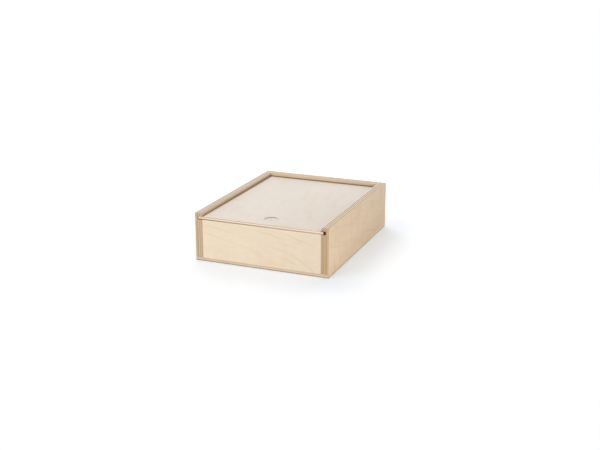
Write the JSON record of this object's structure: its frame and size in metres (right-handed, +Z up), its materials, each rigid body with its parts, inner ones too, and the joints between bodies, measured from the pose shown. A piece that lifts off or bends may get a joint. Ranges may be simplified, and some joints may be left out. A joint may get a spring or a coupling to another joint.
{
  "type": "box with sliding lid",
  "caption": "Low rectangular plywood box with a thin lid that slides out to the front in grooves, with a shallow round finger recess in the lid.",
  "frame": {"origin": "middle of the footprint, on the surface that the box stands on", "axes": "+Z up, +Y to the back along the longest side, the front faces -Y and the lid opens that way"},
  "size_m": [0.16, 0.2, 0.056],
  "materials": {
    "wall_plywood": "bare sanded birch plywood, matt",
    "bottom_plywood": "bare sanded thin birch plywood, matt",
    "lid_plywood": "bare sanded thin birch plywood, matt"
  },
  "bodies": {
    "case": {"left_side": "wall_plywood", "right_side": "wall_plywood", "front_panel": "wall_plywood", "back_panel": "wall_plywood", "bottom_board": "bottom_plywood"},
    "lid": {"sliding_lid": "lid_plywood"}
  },
  "joints": [
    {"name": "lid_slide", "type": "slide", "parent": "case", "child": "lid", "axis": [0, -1, 0], "range_m": [0, 0.2]}
  ]
}
